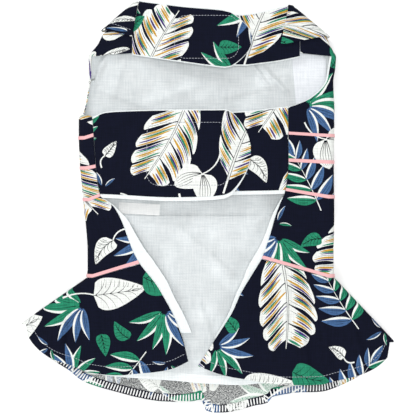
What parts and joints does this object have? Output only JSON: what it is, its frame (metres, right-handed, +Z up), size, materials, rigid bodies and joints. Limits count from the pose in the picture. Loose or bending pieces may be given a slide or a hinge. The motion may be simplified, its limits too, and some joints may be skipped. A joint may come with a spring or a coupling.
{
  "type": "dog dress",
  "caption": "Small dog's cotton dress lying belly up, with a neck strap and a belly strap closed over it, a turned-down collar and a gathered skirt.",
  "frame": {"origin": "on the surface that the dress lies on, below the middle of its outline", "axes": "+X across the dress, +Y from the skirt towards the neck, +Z up, out of the belly side"},
  "size_m": [0.3, 0.33, 0.0221],
  "materials": {
    "print_cotton": "woven cotton with a printed leaf pattern on navy",
    "white_lining": "fine white woven cotton, matt",
    "pink_ribbon": "narrow satin ribbon, soft sheen",
    "fastener_tape": "hook and loop tape, matt",
    "label_tape": "smooth woven label tape, blank"
  },
  "bodies": {
    "root": {"body_panel": "print_cotton", "skirt": "print_cotton", "collar": "print_cotton", "neck_strap_left": "print_cotton", "neck_strap_right": "print_cotton", "belly_strap_left": "print_cotton", "belly_strap_right": "print_cotton", "skirt_lining": "white_lining", "facing_left": "white_lining", "facing_right": "white_lining", "ribbon_chest": "pink_ribbon", "ribbon_belly": "pink_ribbon", "ribbon_side": "pink_ribbon", "waist_piping": "pink_ribbon", "neck_fastener": "fastener_tape", "belly_fastener": "fastener_tape", "care_label": "label_tape"}
  },
  "joints": []
}
